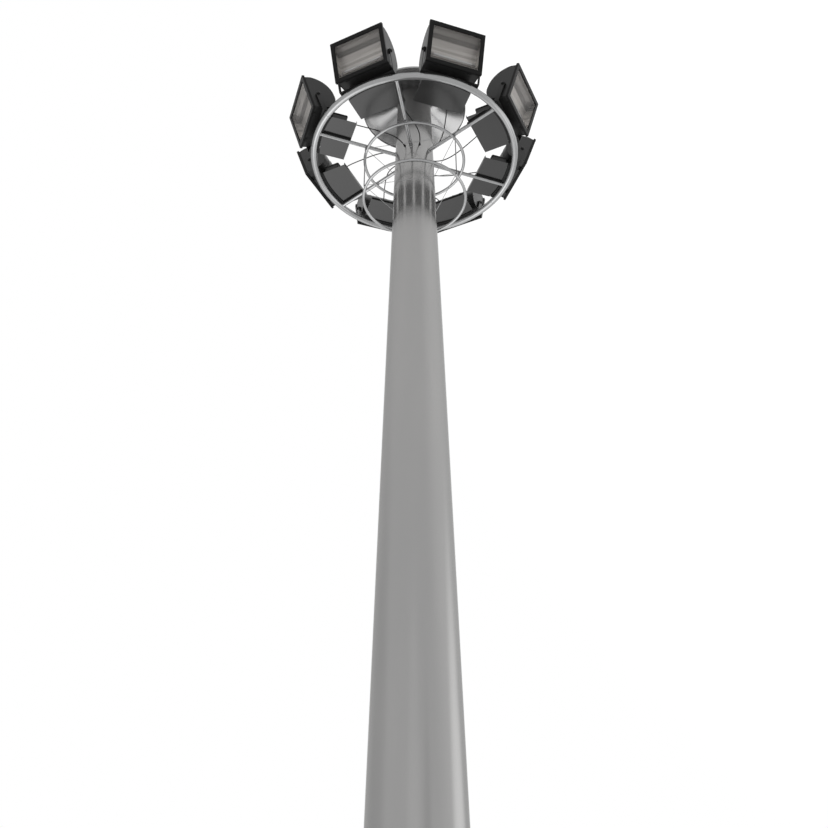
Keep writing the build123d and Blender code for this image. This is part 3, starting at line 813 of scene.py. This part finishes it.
bolt_end = lathe([(BOLT_R, NUT_TOP), (BOLT_R, 0.0165), (0.0068, BOLT_END), (0, BOLT_END)])
foot_bolt = gather("foot_bolt", [
    (washer(FOOT_WASHER_R, WASHER_T, sides=28), UNMOVED),
    (hexagon(FOOT_NUT_ACROSS, WASHER_T, NUT_TOP, 0.001), UNMOVED),
    (bolt_end, UNMOVED),
])
foot_bolts = [turned(azimuth) @ at(YOKE_FOOT_R, y, ring_z + YOKE_FOOT_TOP)
              for azimuth in lamp_azimuths for y in YOKE_BOLTS]
add_piece("yoke_bolts", everywhere("yoke_bolts", foot_bolt, foot_bolts), plated_steel)

pivot_nut = gather("pivot_nut", [
    (washer(PIVOT_WASHER_R, WASHER_T, over=0.0004, sides=32), UNMOVED),
    (hexagon(PIVOT_NUT_ACROSS, WASHER_T, NUT_TOP, 0.0012), UNMOVED),
    (bolt_end, UNMOVED),
])
sideways = {1: Matrix.Rotation(-pi / 2, 4, "X"), -1: Matrix.Rotation(pi / 2, 4, "X")}
for number, azimuth in enumerate(lamp_azimuths, 1):
    nut_places = [turned(azimuth) @ at(PIVOT_R, side * PIVOT_NUT_Y, ring_z + PIVOT_RISE) @ sideways[side]
                  for side in (-1, 1)]
    nuts = everywhere("pivot_nuts", pivot_nut, nut_places)
    add_piece(f"pivot_nuts_{number}", nuts, yoke_powder_coat, f"floodlight_{number}")

# ---- floodlight housings -----------------------------------------------------
# Cast and pressed aluminium in charcoal powder coat: a rounded back with shallow
# ribs between two flat end plates, which are screwed on.
LAMP_R = 1.412
LAMP_RISE = 0.310
LAMP_TILT = radians(18.8)
HOUSING_HALF_W = 0.316
# Places on a floodlight are drawn from the middle of its glass frame's face, with X
# the way the glass faces: here (x, z).
END_SCREWS = [(-0.048, 0.214), (-0.125, 0.203), (-0.205, 0.155), (-0.268, 0.072), (-0.296, -0.040),
              (-0.282, -0.140), (-0.222, -0.218), (-0.130, -0.222), (-0.048, -0.218)]
RIB_SIDES = (-0.21, -0.105, 0.0, 0.105, 0.21)
RIB_R = 0.0034
BACK_TOP = (-0.100, 0.232)
BACK_SHOULDER = (-0.255, 0.125)
BACK_MIDDLE = (-0.312, -0.045)
BACK_HEEL = (-0.295, -0.165)
BACK_FOOT = (-0.225, -0.240)

lamp_body_paint, pen = new_finish("lamp_body_paint")
haze = pen.noise(5.0, 4.0)
grain = pen.noise(240.0, 3.0)
pen.finish(Base_Color=haze.between(grey(0.009), grey(0.013, 0.01)), Roughness=0.32 + 0.12 * haze,
           Specular_IOR_Level=0.3, Normal=pen.bump(grain, 0.06, 0.0004))


def arc(start, middle, end, steps):
    """Points of the circular arc through three (x, z) points."""
    (ax, az), (bx, bz), (cx, cz) = start, middle, end
    scale = 2 * (ax * (bz - cz) + bx * (cz - az) + cx * (az - bz))
    a2, b2, c2 = ax * ax + az * az, bx * bx + bz * bz, cx * cx + cz * cz
    ux = (a2 * (bz - cz) + b2 * (cz - az) + c2 * (az - bz)) / scale
    uz = (a2 * (cx - bx) + b2 * (ax - cx) + c2 * (bx - ax)) / scale
    one, two = atan2(az - uz, ax - ux), atan2(cz - uz, cx - ux)
    two = one + (two - one) % (2 * pi)
    radius = hypot(ax - ux, az - uz)
    angles = [one + (two - one) * i / steps for i in range(steps + 1)]
    return [(ux + radius * cos(angle), uz + radius * sin(angle)) for angle in angles]


def dress_lamps(name, mesh, finish):
    """Show one mesh, drawn round the glass frame's face, on each floodlight."""
    for number, azimuth in enumerate(lamp_azimuths, 1):
        place = turned(azimuth) @ at(LAMP_R, 0, ring_z + LAMP_RISE) @ Matrix.Rotation(LAMP_TILT, 4, "Y")
        add_piece(f"{name}_{number}", mesh, finish, f"floodlight_{number}", place)


lamp_numbers = range(1, len(lamp_azimuths) + 1)
paint_node(lamp_body_paint, *[f"housing_{number}" for number in lamp_numbers])
crown = arc(BACK_TOP, BACK_SHOULDER, BACK_MIDDLE, 22)
heel = arc(BACK_MIDDLE, BACK_HEEL, BACK_FOOT, 12)
back_line = crown + heel[1:]
screw_head = lathe([(0.0058, 0), (0.0058, 0.0014), (0.0046, 0.0029), (0.0020, 0.0034), (0, 0.0034)], 16)
end_screws = everywhere("end_screws", screw_head, [
    at(x, side * HOUSING_HALF_W, z) @ sideways[side] for x, z in END_SCREWS for side in (-1, 1)])
dress_lamps("end_screws", end_screws, yoke_powder_coat)
rib = bead([Vector((x, 0, z)) for x, z in back_line], RIB_R, sides=10)
ribs = everywhere("ribs", rib, [at(0, y, 0) for y in RIB_SIDES])
dress_lamps("ribs", ribs, lamp_body_paint)

# ---- front frames and glass --------------------------------------------------
# A near-black frame hinged below and clipped above carries the toughened glass,
# which sits in a rubber seal; the seal's black also stands in for painted shade in the recess round the
# glass. A second seal closes the frame on the housing.
FRAME_HALF_W = 0.3275
FRAME_HALF_H = 0.255
FRAME_BAR = 0.045
FRAME_T = 0.028
FRAME_SCREW_IN = 0.0215
HOUSING_HALF_H = 0.2335
CLIP_Y = 0.190
CLIP_WIRE_R = 0.0016
HINGE_Y = 0.200
HINGE_W = 0.052
HINGE_T = 0.0026
GLASS_SEAL_R = 0.0042
BODY_SEAL_R = 0.0034

black_frame_paint, pen = new_finish("black_frame_paint")
grain = pen.noise(210.0, 3.0)
pen.finish(Base_Color=grain.between(grey(0.004), grey(0.007)), Roughness=0.30 + 0.15 * grain,
           Specular_IOR_Level=0.1, Normal=pen.bump(grain, 0.1, 0.0004))
paint_node(black_frame_paint, *[f"front_frame_{number}" for number in lamp_numbers])
clear_lamp_glass, pen = new_finish("clear_lamp_glass")
dust = pen.noise(6.0, 5.0)
pen.finish(Base_Color=grey(0.08, 0.05), Roughness=0.04 + 0.08 * dust, Alpha=0.16)
paint_node(clear_lamp_glass, *[f"glass_{number}" for number in lamp_numbers])

# The glass seal is real rubber, and its black band also paints the shade of the recess at the glass's edge.
glass_edge = rounded(FRAME_HALF_W - FRAME_BAR - 0.002, FRAME_HALF_H - FRAME_BAR - 0.002, 0.004, 4)
glass_seal_and_recess_shade = bead([Vector((-0.0062, y, z)) for y, z in glass_edge], GLASS_SEAL_R, closed=True)
body_edge = rounded(HOUSING_HALF_W + 0.001, HOUSING_HALF_H + 0.001, 0.004, 4)
body_seal = bead([Vector((-FRAME_T, y, z)) for y, z in body_edge], BODY_SEAL_R, closed=True)
seals = gather("seals", [(glass_seal_and_recess_shade, UNMOVED), (body_seal, UNMOVED)])
dress_lamps("seals", seals, rubber_sheath)
screw_y, screw_z = FRAME_HALF_W - FRAME_SCREW_IN, FRAME_HALF_H - FRAME_SCREW_IN
frame_screws = everywhere("frame_screws", screw_head, [
    at(0, side * screw_y, up * screw_z) @ outward for side in (-1, 1) for up in (-1, 1)])
dress_lamps("frame_screws", frame_screws, yoke_powder_coat)
clip_side = [Vector((-0.062, 0.010, 0.2425)), Vector((-0.060, 0.0125, 0.2440)),
             Vector((-0.012, 0.0125, 0.2600)), Vector((-0.008, 0.010, 0.2605))]
clip_wire = [Vector((point.x, -point.y, point.z)) for point in clip_side] + clip_side[::-1]
clip = gather("clip", [
    (plate(0.046, 0.030, 0.0030), at(-0.078, 0, 0.2330)),
    (plate(0.048, 0.022, 0.0024), at(-0.082, 0, 0.2405) @ Matrix.Rotation(radians(-7), 4, "Y")),
    (bead(clip_wire, CLIP_WIRE_R), UNMOVED),
    (plate(0.010, 0.026, 0.0070), at(-0.014, 0, 0.2580)),
])
hinge = gather("hinge", [
    (bead([Vector((-0.030, y, -0.252)) for y in (-0.028, 0.028)], 0.0052, sides=16), UNMOVED),
    (plate(0.022, HINGE_W, HINGE_T), at(-0.0150, 0, -0.2560)),
    (plate(0.030, HINGE_W, HINGE_T), at(-0.0460, 0, -0.2395) @ Matrix.Rotation(radians(-20), 4, "Y")),
])
fittings = gather("fittings", [(clip, at(0, side * CLIP_Y, 0)) for side in (-1, 1)]
                  + [(hinge, at(0, side * HINGE_Y, 0)) for side in (-1, 1)])
dress_lamps("frame_fittings", fittings, black_frame_paint)

# ---- inside the floodlights --------------------------------------------------
# A deep reflector of bright aluminium in flat bands, its colour painted with the reflections of its facets,
# closed by two side plates and held by a dark clip, and a long discharge lamp between two ceramic holders.
REFLECTOR_HALF_W = 0.290
REFLECTOR = [(-0.018, 0.209), (-0.050, 0.199), (-0.085, 0.172), (-0.103, 0.145), (-0.118, 0.095),
             (-0.124, 0.040), (-0.126, -0.006), (-0.124, -0.034), (-0.114, -0.085), (-0.098, -0.123),
             (-0.060, -0.176), (-0.018, -0.209)]
LAMP_AXIS = (-0.082, -0.098)
TUBE_HALF_L = 0.235
TUBE_R = 0.0145
HOLDER_Y = 0.262
HOLDER_R = 0.015
STRAP_Y = 0.266
# The clip lies on one facet of REFLECTOR, so far down it and to the side.
CLIP_FACET = 9
CLIP_DOWN = 0.043
CLIP_SIDE = 0.052

reflector_metal, pen = new_finish("reflector_metal")
height = pen.add("ShaderNodeSeparateXYZ", {}, {0: pen.add("ShaderNodeTexCoord", output="Object")}, "Z")
height = pen.add("ShaderNodeMapRange", {}, {"Value": height, "From Min": REFLECTOR[-1][1],
                                            "From Max": REFLECTOR[0][1]})
# Painted reflections: bands of colour up the trough, one for each way its facets lean, paint the light each
# facet mirrors, with a painted highlight in the bright edge band.
dark, dim, mild, light, edge = (grey(level, 0.05) for level in (0.15, 0.27, 0.46, 0.68, 0.92))
painted_reflection_bands = pen.add("ShaderNodeValToRGB", {"stops": [
    (0.00, dim), (0.245, dim), (0.255, edge), (0.27, edge), (0.28, light), (0.45, light), (0.48, mild),
    (0.53, mild), (0.56, light), (0.70, mild), (0.77, mild), (0.80, dark), (0.88, dark), (0.92, dim),
    (1.00, dim)]}, {0: height}, "Color")
# Brushed grain multiplies the painted reflection bands.
brushed = pen.noise(26.0, 3.0, 0.5, (1.0, 0.06, 1.0))
brushed_painted_reflections = pen.add("ShaderNodeMix", {"data_type": "RGBA", "blend_type": "MULTIPLY"},
                  {0: 1.0, 6: painted_reflection_bands, 7: brushed.rise(0.3, 0.7).between(grey(0.75), grey(1.0))}, 2)
pen.finish(Base_Color=brushed_painted_reflections, Metallic=0.45, Roughness=0.28 + 0.15 * brushed)

tube_glass, pen = new_finish("tube_glass")
frost = pen.noise(30.0, 3.0)
pen.finish(Base_Color=frost.between(grey(0.55), grey(0.70)), Roughness=0.2 + 0.1 * frost)
ceramic, pen = new_finish("ceramic")
grain = pen.noise(120.0, 3.0)
pen.finish(Base_Color=grain.between(grey(0.30, 0.02), grey(0.38, 0.03)), Roughness=0.5 + 0.2 * grain)

trough = bmesh.new()
columns = []
for y in (-REFLECTOR_HALF_W, -REFLECTOR_HALF_W / 3, REFLECTOR_HALF_W / 3, REFLECTOR_HALF_W):
    columns.append([trough.verts.new((x, y, z)) for x, z in REFLECTOR])
for one, two in zip(columns, columns[1:]):
    for i in range(len(REFLECTOR) - 1):
        trough.faces.new((one[i], one[i + 1], two[i + 1], two[i]))
trough.faces.new(columns[0])
trough.faces.new(columns[-1])
dress_lamps("reflector", shell(trough, "reflector", 12), reflector_metal)

tube_end = [(0.014, 0.190), (0.012, 0.222), (0.008, 0.233), (0, TUBE_HALF_L)]
tube = lathe([(radius, -height) for radius, height in tube_end[::-1]] + [(TUBE_R, 0)] + tube_end, 32)
along_lamp = at(LAMP_AXIS[0], 0, LAMP_AXIS[1]) @ Matrix.Rotation(pi / 2, 4, "X")
dress_lamps("lamp_tube", gather("tube", [(tube, along_lamp)]), tube_glass)
socket = lathe([(0, 0), (HOLDER_R - 0.001, 0), (HOLDER_R, 0.001), (HOLDER_R, 0.034), (0.013, 0.036),
                (0.010, 0.036), (0.010, 0.02), (0, 0.02)])
holder = gather("holder", [(socket, UNMOVED), (plate(0.034, 0.040, 0.004), at(0, 0, -0.002))])
strap = plate(0.012, 0.004, 0.090)
holders = gather("holders", [
    (holder, at(LAMP_AXIS[0], side * HOLDER_Y, LAMP_AXIS[1]) @ sideways[-side]) for side in (-1, 1)]
    + [(strap, at(-0.088, side * STRAP_Y, LAMP_AXIS[1] - 0.012)) for side in (-1, 1)])
dress_lamps("lamp_holders", holders, ceramic)
(upper_x, upper_z), (lower_x, lower_z) = REFLECTOR[CLIP_FACET:CLIP_FACET + 2]
lean = Matrix.Rotation(-atan2(lower_x - upper_x, upper_z - lower_z), 4, "Y")
clip_seat = at(upper_x, CLIP_SIDE, upper_z) @ lean @ at(0, 0, -CLIP_DOWN)
reflector_clip = gather("reflector_clip", [
    (plate(0.003, 0.011, 0.026), clip_seat @ at(0.001, 0, 0)),
    (screw_head, clip_seat @ at(0.0025, 0, 0) @ outward),
])
dress_lamps("reflector_clip", reflector_clip, yoke_powder_coat)
